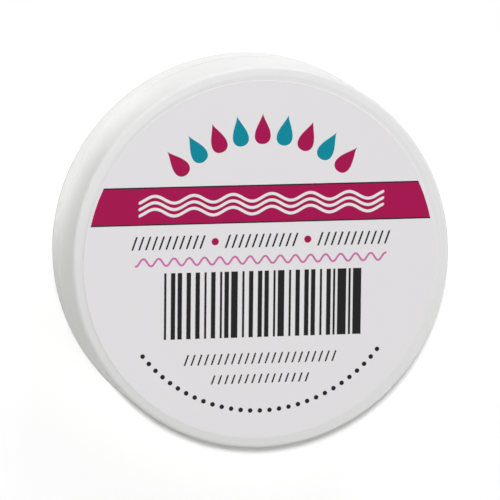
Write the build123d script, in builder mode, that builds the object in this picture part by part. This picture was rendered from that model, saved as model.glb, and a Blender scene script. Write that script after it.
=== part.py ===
from build123d import *
import os
from math import radians, tan

# A low round jar of finger moistener with a screw lid, closed and lying flat on its foot.
# The jar's axis is +Z, with the origin on the floor at the middle of the foot.
# Sizes are in millimetres and angles in degrees.

# Whole jar
outer_diameter = 45.3
side_draft = 1.25

# Cup and its lower band
foot_rise = 0.4
floor_thickness = 1.1
cup_depth = 8.6
cup_wall = 1.2
cup_floor_fillet = 1.5
neck_wall = 1.5
mouth_rounding = 0.35
band_height = 4.2
band_wall = 1.4
band_edge_rounding = 0.12
foot_land = 0.5
shoulder_thickness = 1.4
channel_rounding = 0.25
gate_diameter = 4.0
gate_depth = 0.25

# Lid
lid_top_thickness = 1.3
lid_wall = 1.2
thread_room = 1.0
parting_gap = 0.12
rim_width = 1.05
rim_drop = 0.18
rim_crown = 0.016
lid_edge_rounding = 0.5
skirt_edge_rounding = 0.12
lead_in = 0.45

# Ring inside the lid that keeps the liner in
bead_reach = 0.6
bead_gap = 0.1
bead_upper_flank = 0.25
bead_lower_flank = 0.65

# Liner, label and cake
liner_thickness = 0.8
liner_clearance = 0.3
label_thickness = 0.1
label_margin = 0.34
label_shift_x = -0.18
label_shift_y = -0.23
headspace = 0.8
dish_depth = 0.35
cake_clearance = 0.05

# Heights, from the floor up
slope = tan(radians(side_draft))
cup_floor_z = foot_rise + floor_thickness
mouth_z = cup_floor_z + cup_depth
channel_top_z = band_height - shoulder_thickness
skirt_bottom_z = band_height + parting_gap
ceiling_z = mouth_z + liner_thickness
lid_top_z = ceiling_z + lid_top_thickness
lid_edge_z = lid_top_z - rim_drop
bead_top_z = mouth_z - bead_gap
bead_tip_z = bead_top_z - bead_upper_flank
bead_bottom_z = bead_tip_z - bead_lower_flank
cake_rim_z = mouth_z - headspace

# Radii, from the outside in: band and skirt lie on one cone, widest at the floor
outer_radius = outer_diameter / 2
band_top_radius = outer_radius - band_height * slope
skirt_radius = outer_radius - skirt_bottom_z * slope
lid_edge_radius = outer_radius - lid_edge_z * slope
panel_radius = lid_edge_radius - rim_width
label_radius = panel_radius - label_margin
lid_bore_radius = skirt_radius - lid_wall
liner_radius = lid_bore_radius - liner_clearance
bead_radius = lid_bore_radius - bead_reach
neck_radius = lid_bore_radius - thread_room
mouth_radius = neck_radius - neck_wall
cup_floor_radius = mouth_radius - cup_depth * slope
channel_inner_radius = cup_floor_radius + cup_wall
channel_outer_radius = outer_radius - band_wall
foot_rounding = band_wall - foot_land
cake_floor_radius = cup_floor_radius - cake_clearance
cake_rim_radius = cake_floor_radius + (cake_rim_z - cup_floor_z) * slope


def round_corner(profile, radius, height, rounding):
    """Rounds the corner of a profile, still being drawn, that lies at this radius and height."""
    corner = profile.vertices().sort_by_distance((radius, height))[0]
    fillet(corner, rounding)


# Jar base: a cup with a plain neck, a shoulder for the lid and a lower band flush with its skirt.
# A channel under the shoulder keeps the walls even, and the jar stands on the band's lower edge.
with BuildPart() as jar_base:
    with BuildSketch(Plane.XZ) as base_profile:
        with BuildLine():
            Polyline(
                (0, foot_rise),
                (channel_inner_radius, foot_rise),
                (channel_inner_radius, channel_top_z),
                (channel_outer_radius, channel_top_z),
                (channel_outer_radius, 0),
                (outer_radius, 0),
                (band_top_radius, band_height),
                (neck_radius, band_height),
                (neck_radius, mouth_z),
                (mouth_radius, mouth_z),
                (cup_floor_radius, cup_floor_z),
                (0, cup_floor_z),
                close=True,
            )
        make_face()
        round_corner(base_profile, channel_inner_radius, foot_rise, channel_rounding)
        round_corner(base_profile, channel_inner_radius, channel_top_z, channel_rounding)
        round_corner(base_profile, channel_outer_radius, channel_top_z, channel_rounding)
        round_corner(base_profile, outer_radius, 0, foot_rounding)
        round_corner(base_profile, band_top_radius, band_height, band_edge_rounding)
        round_corner(base_profile, neck_radius, mouth_z, mouth_rounding)
        round_corner(base_profile, mouth_radius, mouth_z, mouth_rounding)
        round_corner(base_profile, cup_floor_radius, cup_floor_z, cup_floor_fillet)
    revolve(axis=Axis.Z)
    # Shallow dimple for the moulding gate, in the middle of the underside
    with BuildSketch(Plane.XY.offset(foot_rise)):
        Circle(gate_diameter / 2)
    extrude(amount=gate_depth, mode=Mode.SUBTRACT)

# Moistener cake: fills the cup to just below the mouth, with a dished top.
with BuildPart() as moistener_cake:
    with BuildSketch(Plane.XZ) as cake_profile:
        with BuildLine():
            Polyline(
                (0, cake_rim_z - dish_depth),
                (0, cup_floor_z),
                (cake_floor_radius, cup_floor_z),
                (cake_rim_radius, cake_rim_z),
            )
            TangentArc(
                (0, cake_rim_z - dish_depth),
                (cake_rim_radius, cake_rim_z),
                tangent=(1, 0),
            )
        make_face()
        round_corner(cake_profile, cake_floor_radius, cup_floor_z, cup_floor_fillet)
    revolve(axis=Axis.Z)

# Cap liner: a flat sealing disc between the cup's mouth and the lid's ceiling.
with BuildPart() as cap_liner:
    with BuildSketch(Plane.XY.offset(mouth_z)):
        Circle(liner_radius)
    extrude(amount=liner_thickness)

# Screw lid: flat label panel, gently crowned rim and smooth skirt that stops just above the shoulder.
# Inside, a bead under the liner's edge holds it against the ceiling.
with BuildPart() as screw_lid:
    with BuildSketch(Plane.XZ) as lid_profile:
        with BuildLine():
            Polyline(
                (panel_radius, lid_top_z),
                (0, lid_top_z),
                (0, ceiling_z),
                (lid_bore_radius, ceiling_z),
                (lid_bore_radius, bead_top_z),
                (bead_radius, bead_tip_z),
                (lid_bore_radius, bead_bottom_z),
                (lid_bore_radius, skirt_bottom_z),
                (skirt_radius, skirt_bottom_z),
                (lid_edge_radius, lid_edge_z),
            )
            SagittaArc((panel_radius, lid_top_z), (lid_edge_radius, lid_edge_z), rim_crown)
        make_face()
        round_corner(lid_profile, lid_bore_radius, ceiling_z, liner_clearance)
        round_corner(lid_profile, bead_radius, bead_tip_z, bead_gap)
        round_corner(lid_profile, skirt_radius, skirt_bottom_z, skirt_edge_rounding)
        round_corner(lid_profile, lid_edge_radius, lid_edge_z, lid_edge_rounding)
        lead_in_corner = lid_profile.vertices().sort_by_distance((lid_bore_radius, skirt_bottom_z))[0]
        chamfer(lead_in_corner, lead_in)
    revolve(axis=Axis.Z)

# Lid label: round paper label on the panel, stuck a little off centre.
with BuildPart() as lid_label:
    with BuildSketch(Plane.XY.offset(lid_top_z)):
        with Locations((label_shift_x, label_shift_y)):
            Circle(label_radius)
    extrude(amount=label_thickness)

# One file for each piece
jar_base.part.label = "jar_base"
moistener_cake.part.label = "moistener_cake"
cap_liner.part.label = "cap_liner"
screw_lid.part.label = "screw_lid"
lid_label.part.label = "lid_label"

os.makedirs("parts", exist_ok=True)
export_step(jar_base.part, "parts/jar_base.step")
export_step(moistener_cake.part, "parts/moistener_cake.step")
export_step(cap_liner.part, "parts/cap_liner.step")
export_step(screw_lid.part, "parts/screw_lid.step")
export_step(lid_label.part, "parts/lid_label.step")
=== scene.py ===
import bpy
from math import atan2, cos, degrees, exp, hypot, pi, radians, sin, tan
from mathutils import Matrix, Vector, noise


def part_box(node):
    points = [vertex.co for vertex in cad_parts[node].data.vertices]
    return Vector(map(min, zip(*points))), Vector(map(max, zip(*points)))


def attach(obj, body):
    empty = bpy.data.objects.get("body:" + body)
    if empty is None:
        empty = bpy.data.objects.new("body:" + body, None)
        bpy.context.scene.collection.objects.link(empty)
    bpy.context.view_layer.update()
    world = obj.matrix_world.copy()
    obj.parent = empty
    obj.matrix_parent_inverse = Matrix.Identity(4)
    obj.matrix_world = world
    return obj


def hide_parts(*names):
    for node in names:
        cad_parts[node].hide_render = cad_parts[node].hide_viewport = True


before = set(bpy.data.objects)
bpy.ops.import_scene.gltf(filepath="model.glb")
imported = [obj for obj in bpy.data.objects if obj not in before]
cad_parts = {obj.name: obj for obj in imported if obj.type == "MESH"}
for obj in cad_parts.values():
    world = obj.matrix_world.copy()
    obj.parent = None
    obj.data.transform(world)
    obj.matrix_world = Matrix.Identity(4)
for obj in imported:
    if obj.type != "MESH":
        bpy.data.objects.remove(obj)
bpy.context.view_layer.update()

# Jar base: a one-piece cup with a neck and a lower band, injection moulded in white polypropylene.
# The mould is lightly sparked, so the plastic has a fine satin grain. Handling leaves faint hairlines, and a
# greyer band is painted as shade at the parting line and the foot. The screw lid is moulded in the same
# plastic.
MM = 0.001
lid_low, lid_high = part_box("screw_lid")
side_radius = lid_high.x / MM
parting_gap = 0.12
parting_z = lid_low.z / MM - parting_gap / 2
white_polypropylene = (0.80, 0.80, 0.795, 1)
tint_patch = 7.0
tint_spread = 0.03
satin_grain = 0.11
plastic_roughness = 0.46
grain_roughness = 0.14
hairline_spacing = 2.6
hairline_colour = (0.76, 0.76, 0.75, 1)
hairline_roughness = 0.15
hairline_depth = 0.25
base_hairlines = 0.25
# Painted shade: a greyer colour laid in thin bands at the parting line and along the foot, standing in for
# the shade there
painted_shade_colour = (0.58, 0.58, 0.565, 1)
parting_shade_reach = 0.13
foot_shade_reach = 1.4
painted_shade_depth = 0.5


def feed(tree, socket, value):
    """Sets a socket to a plain value, or links another node's output to it."""
    if isinstance(value, bpy.types.NodeSocket):
        tree.links.new(value, socket)
    else:
        socket.default_value = value


def add_node(tree, kind, inputs=(), **options):
    """Adds one shader node with its options and feeds its named inputs."""
    node = tree.nodes.new(kind)
    for option, value in options.items():
        setattr(node, option, value)
    for name, value in dict(inputs).items():
        feed(tree, node.inputs[name], value)
    return node


def compute(tree, operation, *values, clamp=False):
    """Adds one Math node, fed by numbers or by other nodes' outputs."""
    node = add_node(tree, "ShaderNodeMath", operation=operation, use_clamp=clamp)
    for socket, value in zip(node.inputs, values):
        feed(tree, socket, value)
    return node.outputs["Value"]


def ramp(tree, value, start, end):
    """Goes from 0 to 1 as a value goes from start to end, and no further."""
    gain = 1 / (end - start)
    return compute(tree, "MULTIPLY_ADD", value, gain, -start * gain, clamp=True)


def lay_over(tree, mask, under, over):
    """Lays one colour over another where the mask is white."""
    node = add_node(tree, "ShaderNodeMix", data_type="RGBA")
    feed(tree, node.inputs[0], mask)
    feed(tree, node.inputs[6], under)
    feed(tree, node.inputs[7], over)
    return node.outputs[2]


def start_group(name, inputs, outputs):
    """Starts a node group and returns its tree, what comes in and what goes out."""
    tree = bpy.data.node_groups.new(name, "ShaderNodeTree")
    for label, kind in inputs.items():
        tree.interface.new_socket(label, in_out="INPUT", socket_type="NodeSocket" + kind)
    for label, kind in outputs.items():
        tree.interface.new_socket(label, in_out="OUTPUT", socket_type="NodeSocket" + kind)
    return tree, tree.nodes.new("NodeGroupInput").outputs, tree.nodes.new("NodeGroupOutput").inputs


def place_group(tree, group, inputs):
    """Places a node group in a material, with its own values."""
    return add_node(tree, "ShaderNodeGroup", inputs, node_tree=group).outputs


def start_material(name):
    """Starts a material and returns it with its node tree, its shader and a place in millimetres."""
    material = bpy.data.materials.new(name)
    material.use_nodes = True
    tree = material.node_tree
    shader = tree.nodes["Principled BSDF"]
    object_place = add_node(tree, "ShaderNodeTexCoord").outputs["Object"]
    in_mm = add_node(tree, "ShaderNodeMapping", {"Vector": object_place, "Scale": (1 / MM, 1 / MM, 1 / MM)})
    return material, tree, shader, in_mm.outputs["Vector"]


def roughen(tree, shader, value, least, spread):
    """Sets the roughness to its least, and adds a spread that follows a value over the surface."""
    feed(tree, shader.inputs["Roughness"], compute(tree, "MULTIPLY_ADD", value, spread, least))


def bump_from(tree, shader, height, strength, depth):
    """Feeds a height to the shader's normal, with its depth in millimetres."""
    bump = add_node(tree, "ShaderNodeBump", {"Strength": strength, "Distance": depth * MM, "Height": height})
    feed(tree, shader.inputs["Normal"], bump.outputs["Normal"])


def scatter_light(shader, weight, reach, depth):
    """Lets some light scatter under the surface, to a depth in millimetres."""
    shader.inputs["Subsurface Weight"].default_value = weight
    shader.inputs["Subsurface Radius"].default_value = reach
    shader.inputs["Subsurface Scale"].default_value = depth * MM


fine_grain, given, result = start_group(
    "fine grain", {"Place": "Vector", "Size": "Float"}, {"Height": "Float"}
)
grain_scale = compute(fine_grain, "DIVIDE", 1.0, given["Size"])
grain_noise = add_node(
    fine_grain,
    "ShaderNodeTexNoise",
    {"Vector": given["Place"], "Scale": grain_scale, "Detail": 3.0, "Roughness": 0.6},
)
feed(fine_grain, result["Height"], grain_noise.outputs["Fac"])

cloudy_tint, given, result = start_group(
    "cloudy tint",
    {"Place": "Vector", "Color": "Color", "Patch": "Float", "Spread": "Float"},
    {"Color": "Color"},
)
patch_scale = compute(cloudy_tint, "DIVIDE", 1.0, given["Patch"])
patch_noise = add_node(
    cloudy_tint,
    "ShaderNodeTexNoise",
    {"Vector": given["Place"], "Scale": patch_scale, "Detail": 4.0, "Roughness": 0.55},
)
off_average = compute(cloudy_tint, "SUBTRACT", patch_noise.outputs["Fac"], 0.5)
change = compute(cloudy_tint, "MULTIPLY", off_average, given["Spread"])
shade = compute(cloudy_tint, "ADD", change, 1.0)
shaded = add_node(cloudy_tint, "ShaderNodeVectorMath", {"Scale": shade}, operation="SCALE")
feed(cloudy_tint, shaded.inputs[0], given["Color"])
feed(cloudy_tint, result["Color"], shaded.outputs["Vector"])

hairlines, given, result = start_group(
    "hairlines", {"Place": "Vector", "Spacing": "Float", "Amount": "Float"}, {"Mask": "Float"}
)
line_tilts = (0.4, 0.3)
line_stretch = (1.0, 0.08, 0.08)
line_half_width = 1 / 110
spacings_in_rubbed_patch = 2.2
line_scale = compute(hairlines, "DIVIDE", 1.0, given["Spacing"])
all_lines = 0.0
for line_turn in (20, 95, 150):
    along_line = add_node(
        hairlines,
        "ShaderNodeMapping",
        {"Vector": given["Place"], "Rotation": (*line_tilts, radians(line_turn)), "Scale": line_stretch},
    )
    line_noise = add_node(
        hairlines,
        "ShaderNodeTexNoise",
        {"Vector": along_line.outputs["Vector"], "Scale": line_scale, "Detail": 1.0, "Distortion": 0.3},
    )
    beside_line = compute(hairlines, "SUBTRACT", line_noise.outputs["Fac"], 0.5)
    off_line = compute(hairlines, "ABSOLUTE", beside_line)
    line = ramp(hairlines, off_line, start=line_half_width, end=0.0)
    all_lines = compute(hairlines, "MAXIMUM", line, all_lines)
rubbed_scale = compute(hairlines, "DIVIDE", line_scale, spacings_in_rubbed_patch)
rubbed_patches = add_node(
    hairlines, "ShaderNodeTexNoise", {"Vector": given["Place"], "Scale": rubbed_scale, "Detail": 1.0}
)
where_rubbed = ramp(hairlines, rubbed_patches.outputs["Fac"], start=1 / 2, end=2 / 3)
seen_lines = compute(hairlines, "MULTIPLY", all_lines, where_rubbed)
feed(hairlines, result["Mask"], compute(hairlines, "MULTIPLY", seen_lines, given["Amount"]))

# Painted shade: a patchy darker band along one height of the outer wall, standing in for the shade in the
# parting gap and along the foot
edge_shade_band, given, result = start_group(
    "painted edge shade",
    {"Place": "Vector", "Height": "Float", "Reach": "Float", "Inner Radius": "Float"},
    {"Mask": "Float"},
)
least_shade = 0.5
shade_contrast = 0.8
band_place = add_node(edge_shade_band, "ShaderNodeSeparateXYZ", {"Vector": given["Place"]}).outputs
x_square = compute(edge_shade_band, "MULTIPLY", band_place["X"], band_place["X"])
radius_square = compute(edge_shade_band, "MULTIPLY_ADD", band_place["Y"], band_place["Y"], x_square)
from_axis = compute(edge_shade_band, "SQRT", radius_square)
outside = compute(edge_shade_band, "GREATER_THAN", from_axis, given["Inner Radius"])
above_edge = compute(edge_shade_band, "SUBTRACT", band_place["Z"], given["Height"])
off_edge = compute(edge_shade_band, "ABSOLUTE", above_edge)
share_of_reach = compute(edge_shade_band, "DIVIDE", off_edge, given["Reach"])
near_edge = ramp(edge_shade_band, share_of_reach, start=1.0, end=0.5)
shade_noise = add_node(
    edge_shade_band, "ShaderNodeTexNoise", {"Vector": given["Place"], "Scale": 0.5, "Detail": 3.0}
)
patchy = compute(
    edge_shade_band, "MULTIPLY_ADD", shade_noise.outputs["Fac"], shade_contrast, least_shade, clamp=True
)
even_shade = compute(edge_shade_band, "MULTIPLY", near_edge, outside)
feed(edge_shade_band, result["Mask"], compute(edge_shade_band, "MULTIPLY", even_shade, patchy))


def moulded_plastic(name, hairline_amount):
    """White satin plastic with faint clouds in its tint, hairlines from handling and painted shade at the
    parting line and the foot.
    """
    material, tree, shader, place = start_material(name)
    coloured = place_group(
        tree,
        cloudy_tint,
        {"Place": place, "Color": white_polypropylene, "Patch": tint_patch, "Spread": tint_spread},
    )["Color"]
    marks = place_group(
        tree, hairlines, {"Place": place, "Spacing": hairline_spacing, "Amount": hairline_amount}
    )["Mask"]
    coloured = lay_over(tree, marks, coloured, hairline_colour)
    # Painted shade laid in bands at the parting line and along the foot
    for height, reach in ((parting_z, parting_shade_reach), (0.0, foot_shade_reach)):
        shade_band = place_group(
            tree,
            edge_shade_band,
            {"Place": place, "Height": height, "Reach": reach, "Inner Radius": side_radius - painted_shade_depth},
        )["Mask"]
        coloured = lay_over(tree, shade_band, coloured, painted_shade_colour)
    feed(tree, shader.inputs["Base Color"], coloured)
    grain = place_group(tree, fine_grain, {"Place": place, "Size": satin_grain})["Height"]
    unmarked = compute(tree, "MULTIPLY_ADD", grain, grain_roughness, plastic_roughness)
    roughen(tree, shader, marks, least=unmarked, spread=hairline_roughness)
    scratched = compute(tree, "MULTIPLY_ADD", marks, -hairline_depth, grain)
    bump_from(tree, shader, scratched, strength=0.35, depth=0.012)
    scatter_light(shader, weight=0.12, reach=(1.0, 0.95, 0.9), depth=0.6)
    shader.inputs["IOR"].default_value = 1.49
    return material


base_plastic = moulded_plastic("moulded plastic of the base", base_hairlines)
jar_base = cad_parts["jar_base"]
jar_base.material_slots[0].material = base_plastic

# Neck thread: the single-start screw thread on the outside of the cup's neck.
# It is moulded with the cup, in one ridge with sloped flanks that runs out into the neck at both ends.
# The same ridge, turned inside out, is in the lid.
inch = 25.4
threads_per_inch = 6
thread_lead = inch / threads_per_inch
thread_height = 0.75
thread_foot_width = 1.6
thread_crest_width = 0.6
thread_crest_rounding = 0.14
thread_fade = 30
thread_end_share = 0.12
thread_sunk = 0.15
thread_step = 2
thread_soft_angle = 35
neck_thread_first_z = 5.3
neck_thread_turn = 289


def radii_between(node, low_z, high_z):
    """The distances from the jar's axis of a CAD node's corners between two heights, in millimetres."""
    corners = [corner.co / MM for corner in node.data.vertices]
    return [hypot(corner.x, corner.y) for corner in corners if low_z < corner.z < high_z]


mouth_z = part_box("jar_base")[1].z / MM
neck_radius = max(radii_between(jar_base, mouth_z / 2, mouth_z))


def start_from(add_primitive, **options):
    """Adds a primitive with nothing else selected, and returns its object."""
    bpy.ops.object.select_all(action="DESELECT")
    add_primitive(**options)
    return bpy.context.object


def edit(piece, wanted, kind="VERT"):
    """Opens a piece for editing with just the wanted corners or faces selected."""
    bpy.ops.object.mode_set(mode="OBJECT")
    mesh = piece.data
    for part in (*mesh.vertices, *mesh.edges, *mesh.polygons):
        part.select = False
    parts = {"VERT": mesh.vertices, "FACE": mesh.polygons}[kind]
    for part in parts:
        part.select = wanted(part)
    bpy.ops.object.mode_set(mode="EDIT")
    bpy.ops.mesh.select_mode(type=kind)


def end_edit():
    """Turns all faces outwards and leaves edit mode."""
    bpy.ops.mesh.select_all(action="SELECT")
    bpy.ops.mesh.normals_make_consistent(inside=False)
    bpy.ops.object.mode_set(mode="OBJECT")


def smooth_step(value):
    """Goes smoothly from 0 to 1 as the value does."""
    value = min(max(value, 0.0), 1.0)
    return value * value * (3 - 2 * value)


def screw_ridge(name, root_radius, outward, first_z, first_angle, turn):
    """One thread ridge on a round wall: outward is 1 on a neck and -1 in a bore."""
    crest_radius = root_radius + outward * thread_height
    sunk_radius = root_radius - outward * thread_sunk
    middle_radius = (crest_radius + sunk_radius) / 2
    ridge = start_from(
        bpy.ops.mesh.primitive_plane_add,
        size=1,
        location=(middle_radius * MM, 0, first_z * MM),
        rotation=(pi / 2, 0, 0),
    )
    ridge.name = name
    ridge.scale = (abs(crest_radius - sunk_radius) * MM, thread_foot_width * MM, 1)
    bpy.ops.object.transform_apply(location=True, rotation=True, scale=True)
    edit(ridge, lambda corner: (corner.co.x - middle_radius * MM) * outward > 0)
    bpy.ops.transform.resize(
        value=(1, 1, thread_crest_width / thread_foot_width),
        center_override=(crest_radius * MM, 0, first_z * MM),
    )
    bpy.ops.mesh.bevel(offset=thread_crest_rounding * MM, segments=3, affect="VERTICES")
    bpy.ops.mesh.select_all(action="SELECT")
    bpy.ops.mesh.delete(type="ONLY_FACE")
    bpy.ops.object.mode_set(mode="OBJECT")
    screw = ridge.modifiers.new("thread", "SCREW")
    screw.angle = radians(turn)
    screw.screw_offset = thread_lead * turn / 360 * MM
    screw.steps = round(turn / thread_step)
    screw.render_steps = screw.steps
    screw.use_merge_vertices = False
    bpy.ops.object.modifier_apply(modifier="thread")
    for corner in ridge.data.vertices:
        angle = degrees(atan2(corner.co.y, corner.co.x)) % 360
        # A corner that rounding puts a hair before the start counts as the start
        if angle > (turn + 360) / 2:
            angle = 0
        from_end = min(angle, turn - angle)
        kept_share = thread_end_share + (1 - thread_end_share) * smooth_step(from_end / thread_fade)
        radius = hypot(corner.co.x, corner.co.y)
        drawn_in = sunk_radius * MM + (radius - sunk_radius * MM) * kept_share
        corner.co.x *= drawn_in / radius
        corner.co.y *= drawn_in / radius
    ridge.rotation_euler = (0, 0, radians(first_angle))
    bpy.ops.object.transform_apply(location=False, rotation=True, scale=False)
    edit(ridge, lambda corner: True)
    bpy.ops.mesh.fill_holes(sides=0)
    end_edit()
    bpy.ops.object.shade_smooth_by_angle(angle=radians(thread_soft_angle))
    return ridge


neck_thread = screw_ridge("neck_thread", neck_radius, 1, neck_thread_first_z, 0, neck_thread_turn)
neck_thread.data.materials.append(base_plastic)
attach(neck_thread, "base")

# Moistener cake: a soft, waxy, pale pink compound that is poured hot into the cup and sets there.
# It creeps up the wall at its rim, sinks a little in the middle and keeps faint ripples from the pouring.
cake_low, cake_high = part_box("moistener_cake")
cake_colour = (0.86, 0.50, 0.56, 1)
bloom_colour = (0.93, 0.70, 0.73, 1)
bloom_strength = 0.35
cake_wall_gap = 0.03
cake_floor_fillet = 1.5
cake_draft = 1.25
cake_ring_width = 0.6
cake_sides = 160
cake_soft_angle = 40
nearly_level = 0.9
top_tolerance = 0.01
meniscus_height = 0.28
meniscus_reach = 0.45
middle_sink = 0.35
ripple_height = 0.03
swirl_twist = 1.1
broad_lumps = 0.16
fine_lumps = 0.5
fine_lump_share = 0.4
cake_rim_radius = cake_high.x / MM + cake_wall_gap
cake_rim_z = cake_high.z / MM
cake_floor_radius = cake_rim_radius - (cake_rim_z - cake_low.z / MM) * tan(radians(cake_draft))
cake = start_from(
    bpy.ops.mesh.primitive_cylinder_add,
    vertices=cake_sides,
    radius=cake_floor_radius * MM,
    depth=cake_high.z - cake_low.z,
    location=(0, 0, (cake_high.z + cake_low.z) / 2),
)
cake.name = "moistener_cake_poured"
bpy.ops.object.transform_apply(location=True, rotation=True, scale=True)
edit(cake, lambda face: face.normal.z < -nearly_level, "FACE")
bpy.ops.mesh.bevel(offset=cake_floor_fillet * MM, segments=6, affect="EDGES")
edit(cake, lambda face: face.normal.z > nearly_level, "FACE")
rim_scale = cake_rim_radius / cake_floor_radius
bpy.ops.transform.resize(value=(rim_scale, rim_scale, 1), center_override=(0, 0, cake_high.z))
bpy.ops.mesh.inset(thickness=meniscus_reach / 3 * MM)
bpy.ops.mesh.inset(thickness=meniscus_reach / 2 * MM)
rings = int((cake_rim_radius - meniscus_reach) / cake_ring_width) - 1
for _ in range(rings):
    bpy.ops.mesh.inset(thickness=cake_ring_width * MM)
bpy.ops.mesh.poke()
bpy.ops.object.mode_set(mode="OBJECT")
for corner in cake.data.vertices:
    if corner.co.z < cake_high.z - top_tolerance * MM:
        continue
    radius = hypot(corner.co.x, corner.co.y) / MM
    from_wall = (cake_rim_radius - radius) / meniscus_reach
    share = radius / cake_rim_radius
    climb = meniscus_height * exp(-from_wall)
    sink = middle_sink * (1 - share * share)
    swirl = sin(atan2(corner.co.y, corner.co.x) + radius * swirl_twist) * share * (1 - share) * 2
    lumps = noise.noise(corner.co / MM * broad_lumps)
    lumps += fine_lump_share * noise.noise(corner.co / MM * fine_lumps)
    ripple = ripple_height * (swirl + lumps) * min(1, from_wall)
    corner.co.z = (cake_rim_z + climb - sink + ripple) * MM
edit(cake, lambda corner: True)
end_edit()
bpy.ops.object.shade_smooth_by_angle(angle=radians(cake_soft_angle))

cake_material, tree, shader, place = start_material("set moistening compound")
cake_tint = place_group(
    tree, cloudy_tint, {"Place": place, "Color": cake_colour, "Patch": 3.5, "Spread": 0.16}
)["Color"]
wax_bloom = add_node(
    tree, "ShaderNodeTexNoise", {"Vector": place, "Scale": 0.45, "Detail": 5.0, "Roughness": 0.65}
).outputs["Fac"]
bloom_mask = ramp(tree, wax_bloom, start=31 / 60, end=51 / 60)
bloom_share = compute(tree, "MULTIPLY", bloom_mask, bloom_strength)
feed(tree, shader.inputs["Base Color"], lay_over(tree, bloom_share, cake_tint, bloom_colour))
roughen(tree, shader, bloom_mask, least=0.46, spread=0.16)
shader.inputs["Specular IOR Level"].default_value = 0.35
cake_grain = place_group(tree, fine_grain, {"Place": place, "Size": 0.35})["Height"]
bump_from(tree, shader, cake_grain, strength=0.4, depth=0.03)
scatter_light(shader, weight=0.3, reach=(1.0, 0.45, 0.4), depth=1.5)
cake.data.materials.append(cake_material)
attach(cake, "base")
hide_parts("moistener_cake")

# Screw lid: one white polypropylene moulding with a flat panel, a gently crowned rim and a smooth skirt.
# It is handled more than the base, so its hairlines show a little more.
lid_hairlines = 0.4
lid_plastic = moulded_plastic("moulded plastic of the lid", lid_hairlines)
screw_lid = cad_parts["screw_lid"]
screw_lid.material_slots[0].material = lid_plastic

# Lid thread: the ridge on the inside of the lid's skirt, moulded with it.
# When the lid is tight it lies just under the neck's ridge and draws the lid down on the liner.
bead_below_mouth = 1
lid_thread_below = 0.97
lid_thread_first_angle = 105
lid_thread_turn = 232
lid_bore_radius = min(radii_between(screw_lid, lid_low.z / MM, mouth_z - bead_below_mouth))
neck_thread_z_there = neck_thread_first_z + thread_lead * lid_thread_first_angle / 360
lid_thread = screw_ridge(
    "lid_thread",
    lid_bore_radius,
    -1,
    neck_thread_z_there - lid_thread_below,
    lid_thread_first_angle,
    lid_thread_turn,
)
lid_thread.data.materials.append(lid_plastic)
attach(lid_thread, "lid")

# Cap liner: a disc punched from pulpboard with a waxed paper facing on its lower side.
# It is pressed into the lid past a bead, and the rim of the cup leaves a shallow ring in its facing.
liner_low, liner_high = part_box("cap_liner")
liner_radius = liner_high.x / MM
liner_sides = 160
cut_edge_rounding = 0.06
cut_soft_angle = 25
quite_level = 0.99
turned_down = 0.5
rim_print_width = 1.7
rim_print_spread = 0.1
rim_print_depth = 0.07
rim_print_slope = 0.12
rim_print_radius = neck_radius + rim_print_spread
pulp_colour = (0.50, 0.42, 0.31, 1)
fibre_colour = (0.64, 0.57, 0.46, 1)
facing_colour = (0.80, 0.77, 0.69, 1)
speck_colour = (0.62, 0.54, 0.42, 1)
liner = start_from(
    bpy.ops.mesh.primitive_cylinder_add,
    vertices=liner_sides,
    radius=liner_radius * MM,
    depth=liner_high.z - liner_low.z,
    location=(0, 0, (liner_high.z + liner_low.z) / 2),
)
liner.name = "cap_liner_board"
bpy.ops.object.transform_apply(location=True, rotation=True, scale=True)
edit(liner, lambda face: abs(face.normal.z) > nearly_level, "FACE")
bpy.ops.mesh.bevel(offset=cut_edge_rounding * MM, segments=2, affect="EDGES")
edit(liner, lambda face: face.normal.z < -quite_level, "FACE")
bpy.ops.mesh.inset(thickness=(liner_radius - cut_edge_rounding - rim_print_radius) * MM)
bpy.ops.mesh.inset(thickness=rim_print_slope * MM, depth=-rim_print_depth * MM)
bpy.ops.mesh.inset(thickness=(rim_print_width - 2 * rim_print_slope) * MM)
bpy.ops.mesh.inset(thickness=rim_print_slope * MM, depth=rim_print_depth * MM)
end_edit()


def soften(piece, angle, flat_tilt=0.999):
    """Shades the round parts of a piece smooth, and keeps its level faces flat."""
    bpy.ops.object.shade_smooth_by_angle(angle=radians(angle))
    for face in piece.data.polygons:
        if abs(face.normal.z) > flat_tilt:
            face.use_smooth = False


soften(liner, cut_soft_angle)

pulp_material, tree, shader, place = start_material("pulpboard")
pulp_tint = place_group(
    tree, cloudy_tint, {"Place": place, "Color": pulp_colour, "Patch": 1.2, "Spread": 0.35}
)["Color"]
fibre_place = add_node(tree, "ShaderNodeMapping", {"Vector": place, "Scale": (0.5, 2.0, 6.0)})
fibres = add_node(
    tree,
    "ShaderNodeTexNoise",
    {"Vector": fibre_place.outputs["Vector"], "Scale": 2.2, "Detail": 5.0, "Distortion": 1.5},
).outputs["Fac"]
fibre_mask = ramp(tree, fibres, start=0.52, end=0.72)
feed(tree, shader.inputs["Base Color"], lay_over(tree, fibre_mask, pulp_tint, fibre_colour))
roughen(tree, shader, fibres, least=0.82, spread=0.1)
bump_from(tree, shader, fibres, strength=0.6, depth=0.05)

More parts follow.
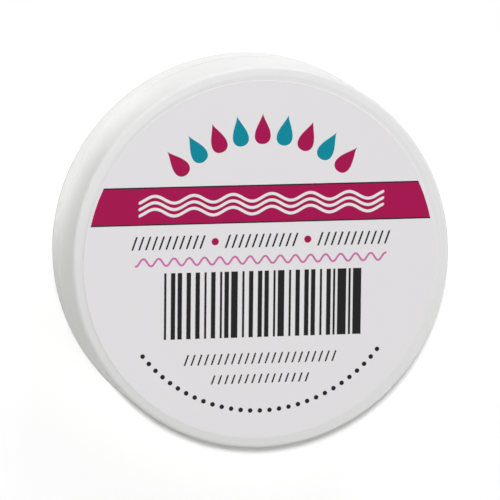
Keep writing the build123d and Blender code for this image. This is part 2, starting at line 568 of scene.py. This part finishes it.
facing_material, tree, shader, place = start_material("waxed paper facing")
facing_tint = place_group(
    tree, cloudy_tint, {"Place": place, "Color": facing_colour, "Patch": 2.5, "Spread": 0.12}
)["Color"]
speck_noise = add_node(
    tree, "ShaderNodeTexNoise", {"Vector": place, "Scale": 1.6, "Detail": 4.0, "Roughness": 0.7}
).outputs["Fac"]
specks = ramp(tree, speck_noise, start=2 / 3, end=7 / 9)
feed(tree, shader.inputs["Base Color"], lay_over(tree, specks, facing_tint, speck_colour))
roughen(tree, shader, speck_noise, least=0.36, spread=0.2)
facing_tooth = place_group(tree, fine_grain, {"Place": place, "Size": 0.25})["Height"]
bump_from(tree, shader, facing_tooth, strength=0.35, depth=0.02)
liner.data.materials.append(pulp_material)
liner.data.materials.append(facing_material)
for face in liner.data.polygons:
    if face.normal.z < -turned_down:
        face.material_index = 1
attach(liner, "liner")
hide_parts("cap_liner")

# Lid label: a round paper label, die-cut and stuck by hand, so it sits a little off centre and turned.
# It is coated paper, printed in four inks with a band, waves, drops and rows of plain dashes and bars.
label_low, label_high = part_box("lid_label")
label_radius = (label_high.x - label_low.x) / 2 / MM
label_x = (label_high.x + label_low.x) / 2
label_y = (label_high.y + label_low.y) / 2
label_turn = -0.6
label_sides = 192
cut_rounding = 0.03
ink_spread = 0.05
print_margin = 0.35
paper_white = (0.843, 0.827, 0.835, 1)
uncoated_core = (0.77, 0.76, 0.755, 1)
ink_roughness = 0.48
bare_paper_rougher = 0.16


def ink(red, green, blue):
    """An ink named by its screen colour, from 0 to 255, in the linear values that shaders use."""
    return (*((level / 255 + 0.055) ** 2.4 / 1.055 ** 2.4 for level in (red, green, blue)), 1)


crimson = ink(169, 14, 80)
teal = ink(0, 139, 158)
charcoal = ink(25, 25, 25)
pink = ink(208, 114, 170)

label = start_from(
    bpy.ops.mesh.primitive_cylinder_add,
    vertices=label_sides,
    radius=label_radius * MM,
    depth=label_high.z - label_low.z,
    location=(label_x, label_y, (label_high.z + label_low.z) / 2),
)
label.name = "lid_label_printed"
bpy.ops.object.transform_apply(location=True, rotation=True, scale=True)
edit(label, lambda face: face.normal.z > nearly_level, "FACE")
bpy.ops.mesh.bevel(offset=cut_rounding * MM, segments=2, affect="EDGES")
end_edit()
soften(label, cut_soft_angle)

# The label's map: its printed side fills the middle, its edge is a ring round that, its back a small disc
map_middle = Vector((0.5, 0.5))
printed_share = 0.455
edge_share = 0.02
back_middle = Vector((0.05, 0.05))
back_share = 0.035
label_map = label.data.uv_layers.new(name="OFBake")
for face in label.data.polygons:
    for loop_index in face.loop_indices:
        corner = label.data.vertices[label.data.loops[loop_index].vertex_index].co
        across = Vector((corner.x - label_x, corner.y - label_y)) / (label_radius * MM)
        if face.normal.z < -nearly_level:
            map_place = back_middle + across * back_share
        elif face.normal.z > nearly_level:
            map_place = map_middle + across * printed_share
        else:
            down_edge = (label_high.z - corner.z) / (label_high.z - label_low.z)
            map_place = map_middle + across.normalized() * (printed_share + edge_share * down_edge)
        label_map.data[loop_index].uv = map_place


def numbers(*names):
    """The sockets of a group that each carry one number."""
    return dict.fromkeys(names, "Float")


def ink_edge(tree, inside):
    """Turns a distance inside an outline, in millimetres, into a mask with a slightly soft edge."""
    return compute(tree, "MULTIPLY_ADD", inside, 1 / ink_spread, 0.5, clamp=True)


def repeat_along(tree, along, pitch, half_span):
    """Cuts a line into repeats: the number of each, the place in it, and whether the row reaches it."""
    number = compute(tree, "ROUND", compute(tree, "DIVIDE", along, pitch))
    middle = compute(tree, "MULTIPLY", number, pitch)
    place_in = compute(tree, "SUBTRACT", along, middle)
    reached = compute(tree, "LESS_THAN", compute(tree, "ABSOLUTE", middle), half_span)
    return number, place_in, reached


mark_row, given, result = start_group(
    "row of marks",
    numbers("Along", "Across", "Pitch", "Length", "Height", "Slant", "Half Span"),
    numbers("Mask"),
)
leaning = compute(mark_row, "MULTIPLY", given["Across"], given["Slant"])
straightened = compute(mark_row, "SUBTRACT", given["Along"], leaning)
_, mark_place, mark_reached = repeat_along(mark_row, straightened, given["Pitch"], given["Half Span"])
half_length = compute(mark_row, "MULTIPLY", given["Length"], 0.5)
half_height = compute(mark_row, "MULTIPLY", given["Height"], 0.5)
round_end = compute(mark_row, "MINIMUM", half_length, half_height)
corner_squares = 0.0
for distance, half_size in ((mark_place, half_length), (given["Across"], half_height)):
    straight = compute(mark_row, "SUBTRACT", half_size, round_end)
    past = compute(mark_row, "SUBTRACT", compute(mark_row, "ABSOLUTE", distance), straight)
    past = compute(mark_row, "MAXIMUM", past, 0.0)
    corner_squares = compute(mark_row, "MULTIPLY_ADD", past, past, corner_squares)
mark_inside = compute(mark_row, "SUBTRACT", round_end, compute(mark_row, "SQRT", corner_squares))
mark_mask = compute(mark_row, "MULTIPLY", ink_edge(mark_row, mark_inside), mark_reached)
feed(mark_row, result["Mask"], mark_mask)

# A drop is a circle drawn out to a point at its top, scaled so that it is as wide as asked at its widest
drop_row, given, result = start_group(
    "row of drops",
    numbers("Along", "Across", "Pitch", "Width", "Height", "Half Span"),
    numbers("Mask", "Odd"),
)
half_over_swell = 0.385
drop_number, drop_place, drop_reached = repeat_along(
    drop_row, given["Along"], given["Pitch"], given["Half Span"]
)
twice_across = compute(drop_row, "MULTIPLY", given["Across"], 2.0)
up_drop = compute(drop_row, "DIVIDE", twice_across, given["Height"])
within = compute(drop_row, "LESS_THAN", compute(drop_row, "ABSOLUTE", up_drop), 1.0)
circle_square = compute(drop_row, "SUBTRACT", 1.0, compute(drop_row, "MULTIPLY", up_drop, up_drop))
circle = compute(drop_row, "SQRT", compute(drop_row, "MAXIMUM", circle_square, 0.0))
drop_swell = compute(drop_row, "MULTIPLY", circle, compute(drop_row, "SUBTRACT", 1.0, up_drop))
swell_width = compute(drop_row, "MULTIPLY", drop_swell, given["Width"])
drop_half = compute(drop_row, "MULTIPLY", swell_width, half_over_swell)
drop_inside = compute(drop_row, "SUBTRACT", drop_half, compute(drop_row, "ABSOLUTE", drop_place))
drop_mask = compute(drop_row, "MULTIPLY", ink_edge(drop_row, drop_inside), within)
feed(drop_row, result["Mask"], compute(drop_row, "MULTIPLY", drop_mask, drop_reached))
feed(drop_row, result["Odd"], compute(drop_row, "MODULO", compute(drop_row, "ABSOLUTE", drop_number), 2.0))

wave_line, given, result = start_group(
    "wavy line",
    numbers("Along", "Across", "Wave Length", "Swing", "Thickness", "Half Span"),
    numbers("Mask"),
)
waves_along = compute(wave_line, "DIVIDE", given["Along"], given["Wave Length"])
wave_phase = compute(wave_line, "MULTIPLY", waves_along, 2 * pi)
wave_rise = compute(wave_line, "MULTIPLY", compute(wave_line, "SINE", wave_phase), given["Swing"])
swing_round = compute(wave_line, "MULTIPLY", given["Swing"], 2 * pi)
steepest = compute(wave_line, "DIVIDE", swing_round, given["Wave Length"])
wave_slope = compute(wave_line, "MULTIPLY", compute(wave_line, "COSINE", wave_phase), steepest)
slope_length = compute(wave_line, "SQRT", compute(wave_line, "MULTIPLY_ADD", wave_slope, wave_slope, 1.0))
above_wave = compute(wave_line, "SUBTRACT", given["Across"], wave_rise)
off_wave = compute(wave_line, "DIVIDE", above_wave, slope_length)
past_end = compute(wave_line, "SUBTRACT", compute(wave_line, "ABSOLUTE", given["Along"]), given["Half Span"])
past_end = compute(wave_line, "MAXIMUM", past_end, 0.0)
off_square = compute(wave_line, "MULTIPLY", off_wave, off_wave)
off_squares = compute(wave_line, "MULTIPLY_ADD", past_end, past_end, off_square)
half_thickness = compute(wave_line, "MULTIPLY", given["Thickness"], 0.5)
in_wave = compute(wave_line, "SUBTRACT", half_thickness, compute(wave_line, "SQRT", off_squares))
feed(wave_line, result["Mask"], ink_edge(wave_line, in_wave))

round_label, given, result = start_group(
    "round the label", numbers("Side", "Up", "Radius"), numbers("Along", "Out")
)
turn_from_up = compute(round_label, "ARCTAN2", given["Side"], given["Up"])
feed(round_label, result["Along"], compute(round_label, "MULTIPLY", turn_from_up, given["Radius"]))
side_square = compute(round_label, "MULTIPLY", given["Side"], given["Side"])
both_squares = compute(round_label, "MULTIPLY_ADD", given["Up"], given["Up"], side_square)
from_centre = compute(round_label, "SQRT", both_squares)
feed(round_label, result["Out"], compute(round_label, "SUBTRACT", from_centre, given["Radius"]))

paper_material, tree, shader, place = start_material("printed label paper")
label_place = add_node(
    tree,
    "ShaderNodeMapping",
    {
        "Vector": place,
        "Location": (label_x / MM, label_y / MM, 0),
        "Rotation": (0, 0, radians(label_turn)),
    },
    vector_type="TEXTURE",
)
sides = add_node(tree, "ShaderNodeSeparateXYZ", {"Vector": label_place.outputs["Vector"]}).outputs
side = sides["X"]
up = sides["Y"]
down = compute(tree, "MULTIPLY", up, -1.0)


def above(height):
    """How far above a line of the print a point is."""
    return compute(tree, "SUBTRACT", up, height)


def inside_of(value, low, high):
    """How far a value is inside the stretch from low to high."""
    past_low = compute(tree, "SUBTRACT", value, low)
    before_high = compute(tree, "SUBTRACT", high, value)
    return compute(tree, "MINIMUM", past_low, before_high)


from_label_middle = place_group(tree, round_label, {"Side": side, "Up": up, "Radius": 0.0})["Out"]
in_margin = compute(tree, "SUBTRACT", label_radius - print_margin, from_label_middle)
printed = place_group(
    tree, cloudy_tint, {"Place": place, "Color": paper_white, "Patch": 9.0, "Spread": 0.02}
)["Color"]

# Crimson band across the label, with thin dark lines along it and three white waves
band_middle = 6.65
band_half_height = 2.15
band_line_width = 0.16
band_wave_gap = 0.75
off_band = compute(tree, "ABSOLUTE", above(band_middle))
in_band = compute(tree, "MINIMUM", compute(tree, "SUBTRACT", band_half_height, off_band), in_margin)
printed = lay_over(tree, ink_edge(tree, in_band), printed, crimson)
off_band_line = compute(tree, "ABSOLUTE", compute(tree, "SUBTRACT", off_band, band_half_height))
in_band_line = compute(tree, "SUBTRACT", band_line_width / 2, off_band_line)
in_band_line = compute(tree, "MINIMUM", in_band_line, in_margin)
printed = lay_over(tree, ink_edge(tree, in_band_line), printed, charcoal)
for wave_height in (-band_wave_gap, 0.0, band_wave_gap):
    wave = place_group(
        tree,
        wave_line,
        {
            "Along": side,
            "Across": above(band_middle + wave_height),
            "Wave Length": 4.6,
            "Swing": 0.42,
            "Thickness": 0.34,
            "Half Span": 14.4,
        },
    )["Mask"]
    printed = lay_over(tree, wave, printed, paper_white)

# Drops in two colours, on an arc under the label's upper edge
drop_arc = place_group(tree, round_label, {"Side": side, "Up": up, "Radius": 15.4})
drops = place_group(
    tree,
    drop_row,
    {
        "Along": drop_arc["Along"],
        "Across": drop_arc["Out"],
        "Pitch": 2.75,
        "Width": 2.0,
        "Height": 3.6,
        "Half Span": 11.5,
    },
)
printed = lay_over(tree, drops["Mask"], printed, lay_over(tree, drops["Odd"], crimson, teal))

# Three groups of slanted strokes with a crimson dot between them, and a pink wavy line below
strokes_up = 2.35
stroke_pitch = 0.8
stroke_slant = 0.35
stroke_groups = 3
group_pitch = 11.0
groups_half_span = stroke_groups / 2 * group_pitch
dot_width = 0.85
pink_wave_up = 0.1
_, place_in_group, group_reached = repeat_along(tree, side, group_pitch, groups_half_span)
strokes = place_group(
    tree,
    mark_row,
    {
        "Along": place_in_group,
        "Across": above(strokes_up),
        "Pitch": stroke_pitch,
        "Length": 0.22,
        "Height": 1.6,
        "Slant": stroke_slant,
        "Half Span": 4.2,
    },
)["Mask"]
strokes = compute(tree, "MULTIPLY", strokes, group_reached)
printed = lay_over(tree, strokes, printed, charcoal)
between_groups = place_group(
    tree,
    mark_row,
    {
        "Along": compute(tree, "ADD", side, group_pitch / 2),
        "Across": above(strokes_up),
        "Pitch": group_pitch,
        "Length": dot_width,
        "Height": dot_width,
        "Slant": 0.0,
        "Half Span": groups_half_span,
    },
)["Mask"]
inside_row = compute(tree, "LESS_THAN", compute(tree, "ABSOLUTE", side), group_pitch)
dots = compute(tree, "MULTIPLY", between_groups, inside_row)
printed = lay_over(tree, dots, printed, crimson)
pink_wave = place_group(
    tree,
    wave_line,
    {
        "Along": side,
        "Across": above(pink_wave_up),
        "Wave Length": 1.8,
        "Swing": 0.42,
        "Thickness": 0.24,
        "Half Span": 14.85,
    },
)["Mask"]
printed = lay_over(tree, pink_wave, printed, pink)

# Block of upright bars: each set of seven widths has two bars, whose widths change from set to set
bar_width = 0.264
widths_in_set = 7
bar_sets = 13
bars_half_width = bar_sets * widths_in_set * bar_width / 2
bars_middle = -5.1
bars_half_height = 3.9
bars_along = compute(tree, "DIVIDE", compute(tree, "ADD", side, bars_half_width), bar_width)
set_number = compute(tree, "FLOOR", compute(tree, "DIVIDE", bars_along, widths_in_set))
place_in_set = compute(tree, "SUBTRACT", bars_along, compute(tree, "MULTIPLY", set_number, widths_in_set))
set_choice = add_node(tree, "ShaderNodeTexWhiteNoise", {"W": set_number}, noise_dimensions="1D")
choices = add_node(tree, "ShaderNodeSeparateColor", {"Color": set_choice.outputs["Color"]})
# The first gap, the first bar and the second gap are each one or two widths, by chance
first_start, first_width, gap_width = (
    compute(tree, "ADD", compute(tree, "GREATER_THAN", choice, 0.5), 1.0) for choice in choices.outputs
)
first_end = compute(tree, "ADD", first_start, first_width)
second_start = compute(tree, "ADD", first_end, gap_width)
in_first = inside_of(place_in_set, first_start, first_end)
in_second = inside_of(place_in_set, second_start, float(widths_in_set))
in_bar = compute(tree, "MULTIPLY", compute(tree, "MAXIMUM", in_first, in_second), bar_width)
off_bars_middle = compute(tree, "ABSOLUTE", above(bars_middle))
in_block_height = compute(tree, "SUBTRACT", bars_half_height, off_bars_middle)
off_side = compute(tree, "ABSOLUTE", side)
in_block_width = compute(tree, "SUBTRACT", bars_half_width - ink_spread, off_side)
in_block = compute(tree, "MINIMUM", in_block_height, in_block_width)
bar_mask = ink_edge(tree, compute(tree, "MINIMUM", in_bar, in_block))
printed = lay_over(tree, bar_mask, printed, charcoal)

# Two short rows of strokes under the bars, and an arc of dots along the label's lower edge
arc_dot_width = 0.55
for row_up, height, half_span in ((-11.5, 1.3, 8.9), (-13.9, 1.1, 6.4)):
    short_row = place_group(
        tree,
        mark_row,
        {
            "Along": side,
            "Across": above(row_up),
            "Pitch": stroke_pitch,
            "Length": 0.2,
            "Height": height,
            "Slant": stroke_slant,
            "Half Span": half_span,
        },
    )["Mask"]
    printed = lay_over(tree, short_row, printed, charcoal)
dot_arc = place_group(tree, round_label, {"Side": side, "Up": down, "Radius": 17.7})
arc_dots = place_group(
    tree,
    mark_row,
    {
        "Along": dot_arc["Along"],
        "Across": dot_arc["Out"],
        "Pitch": 1.15,
        "Length": arc_dot_width,
        "Height": arc_dot_width,
        "Slant": 0.0,
        "Half Span": 16.5,
    },
)["Mask"]
printed = lay_over(tree, arc_dots, printed, charcoal)

# The cut edge shows the paper's uncoated core, which is a little greyer
at_cut_edge = compute(tree, "GREATER_THAN", from_label_middle, label_radius - cut_rounding / 2)
printed = lay_over(tree, at_cut_edge, printed, uncoated_core)
feed(tree, shader.inputs["Base Color"], printed)
lightness = add_node(tree, "ShaderNodeRGBToBW", {"Color": printed}).outputs["Val"]
print_roughness = compute(tree, "MULTIPLY_ADD", lightness, bare_paper_rougher, ink_roughness)
paper_tooth = place_group(tree, fine_grain, {"Place": place, "Size": 0.16})["Height"]
roughen(tree, shader, paper_tooth, least=print_roughness, spread=0.1)
shader.inputs["Specular IOR Level"].default_value = 0.12
bump_from(tree, shader, paper_tooth, strength=0.25, depth=0.008)
label.data.materials.append(paper_material)
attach(label, "lid")
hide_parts("lid_label")

# Floor: a wide white table top under the jar. The camera sees it brightened to white, so that only the
# jar's shadow shows on it, and well away from the jar it fades into a plain white background.
floor_size = 3.0
floor_white = (0.93, 0.93, 0.868, 1)
floor_seen_white = (1.19, 1.19, 1.19, 1)
background_white = (1, 1, 1, 1)
shadows_kept_within = 31
plain_white_from = 44
floor = start_from(bpy.ops.mesh.primitive_plane_add, size=floor_size, location=(0, 0, 0))
floor.name = "floor"
floor_material = bpy.data.materials.new("white table top")
floor_material.use_nodes = True
tree = floor_material.node_tree
tree.nodes.clear()


def seen_directly(tree):
    """1 for rays from the camera, from a gloss or through glass, 0 for the light that falls on things."""
    path = add_node(tree, "ShaderNodeLightPath").outputs
    seen = compute(tree, "MAXIMUM", path["Is Camera Ray"], path["Is Glossy Ray"])
    return compute(tree, "MAXIMUM", seen, path["Is Transmission Ray"])


def either_shader(tree, share, first, second):
    """Mixes two shaders: the first where the share is 0, the second where it is 1."""
    mixed = add_node(tree, "ShaderNodeMixShader")
    feed(tree, mixed.inputs[0], share)
    feed(tree, mixed.inputs[1], first.outputs[0])
    feed(tree, mixed.inputs[2], second.outputs[0])
    return mixed


floor_place = add_node(tree, "ShaderNodeTexCoord").outputs["Object"]
from_jar = add_node(tree, "ShaderNodeVectorMath", operation="LENGTH")
feed(tree, from_jar.inputs[0], floor_place)
past_shadows = compute(tree, "SUBTRACT", from_jar.outputs["Value"], shadows_kept_within * MM)
fade_length = (plain_white_from - shadows_kept_within) * MM
far_off = compute(tree, "DIVIDE", past_shadows, fade_length, clamp=True)
table = add_node(tree, "ShaderNodeBsdfDiffuse", {"Color": floor_white})
bright_table = add_node(tree, "ShaderNodeBsdfDiffuse", {"Color": floor_seen_white})
plain_white = add_node(tree, "ShaderNodeEmission", {"Color": background_white, "Strength": 1.0})
seen_floor = either_shader(tree, far_off, bright_table, plain_white)
floor_surface = either_shader(tree, seen_directly(tree), table, seen_floor)
add_node(tree, "ShaderNodeOutputMaterial", {"Surface": floor_surface.outputs[0]})
floor.data.materials.append(floor_material)

# Light: an even white room, one lamp overhead, soft low ones behind and to the right, and two small spots
# that brighten the foot of the jar at its left. Sides are in degrees, lamp sizes and distances in metres.
room_level = 0.18
neutral_white = (1, 1, 1)
cool_white = (0.94, 0.935, 1.0)
spot_aim_radius = 22.6
spot_elevation = 4
spot_distance = 0.3
spot_angle = 1.8
spot_softness = 0.004
room = bpy.data.worlds.new("studio")
room.use_nodes = True
bpy.context.scene.world = room
tree = room.node_tree
tree.nodes.clear()
soft_room = add_node(tree, "ShaderNodeBackground", {"Color": background_white, "Strength": room_level})
white_room = add_node(tree, "ShaderNodeBackground", {"Color": background_white, "Strength": 1.0})
room_surface = either_shader(tree, seen_directly(tree), soft_room, white_room)
add_node(tree, "ShaderNodeOutputWorld", {"Surface": room_surface.outputs[0]})


def lamp_towards(name, kind, target, azimuth, elevation, distance, power, colour):
    """A lamp that points at a target from this side and height."""
    turn = radians(azimuth)
    rise = radians(elevation)
    outward = Vector((sin(turn) * cos(rise), -cos(turn) * cos(rise), sin(rise)))
    bpy.ops.object.light_add(type=kind, location=target + outward * distance)
    lamp = bpy.context.object
    lamp.name = name
    lamp.data.energy = power
    lamp.data.color = colour
    lamp.rotation_mode = "QUATERNION"
    lamp.rotation_quaternion = (-outward).to_track_quat("-Z", "Y")
    return lamp


foot_middle = Vector((0, 0, 0))
for name, azimuth, elevation, distance, power, size, colour in (
    ("overhead lamp", 224, 71.2, 1.0, 5.7, 0.055, neutral_white),
    ("low lamp behind", 165, 12, 0.6, 1.54, 0.24, cool_white),
    ("low lamp at the right", 55, 12, 0.6, 1.15, 0.3, neutral_white),
):
    lamp = lamp_towards(name, "AREA", foot_middle, azimuth, elevation, distance, power, colour)
    lamp.data.size = size
for name, azimuth, aim_z, width, power in (
    ("rear foot spot", 226, 4.6, 2.1, 0.87),
    ("left foot spot", 253, 3.2, 1.5, 1.3),
):
    turn = radians(azimuth)
    spot_aim = Vector((spot_aim_radius * sin(turn), -spot_aim_radius * cos(turn), aim_z)) * MM
    spot = lamp_towards(name, "SPOT", spot_aim, azimuth, spot_elevation, spot_distance, power, cool_white)
    spot.data.shadow_soft_size = spot_softness
    spot.data.spot_size = radians(spot_angle)
    spot.data.spot_blend = 1.0
    spot.scale = (width, 1, 1)

# Camera: the photograph's view, from far off and almost straight onto the label.
# The middle of the lid's upper edge is set at its place in the 500 pixel picture.
picture_size = 500
lid_edge_z = 11.9
aim_pixel = (262.14, 257.86)
pixels_per_mm = 8.635
focal_pixels = 4737
view_yaw = radians(13.085)
view_rise = radians(9.573)
right = Vector((cos(view_yaw), 0, sin(view_yaw)))
upward = Vector((sin(view_yaw) * sin(view_rise), cos(view_rise), -cos(view_yaw) * sin(view_rise)))
backward = Vector((-sin(view_yaw) * cos(view_rise), sin(view_rise), cos(view_yaw) * cos(view_rise)))
pixel = MM / pixels_per_mm
aim = Vector((0, 0, lid_edge_z * MM))
sideways = right * (picture_size / 2 - aim_pixel[0]) * pixel
lifted = upward * (aim_pixel[1] - picture_size / 2) * pixel
camera_place = aim + backward * focal_pixels * pixel + sideways + lifted
camera_turn = Matrix((right, upward, backward)).transposed().to_4x4()
bpy.ops.object.camera_add()
camera = bpy.context.object
camera.matrix_world = Matrix.Translation(camera_place) @ camera_turn
camera.data.sensor_width = 36
camera.data.lens = focal_pixels / picture_size * camera.data.sensor_width
camera.data.clip_start = 0.01
camera.data.clip_end = 20
bpy.context.scene.camera = camera
bpy.context.scene.view_settings.view_transform = "Standard"
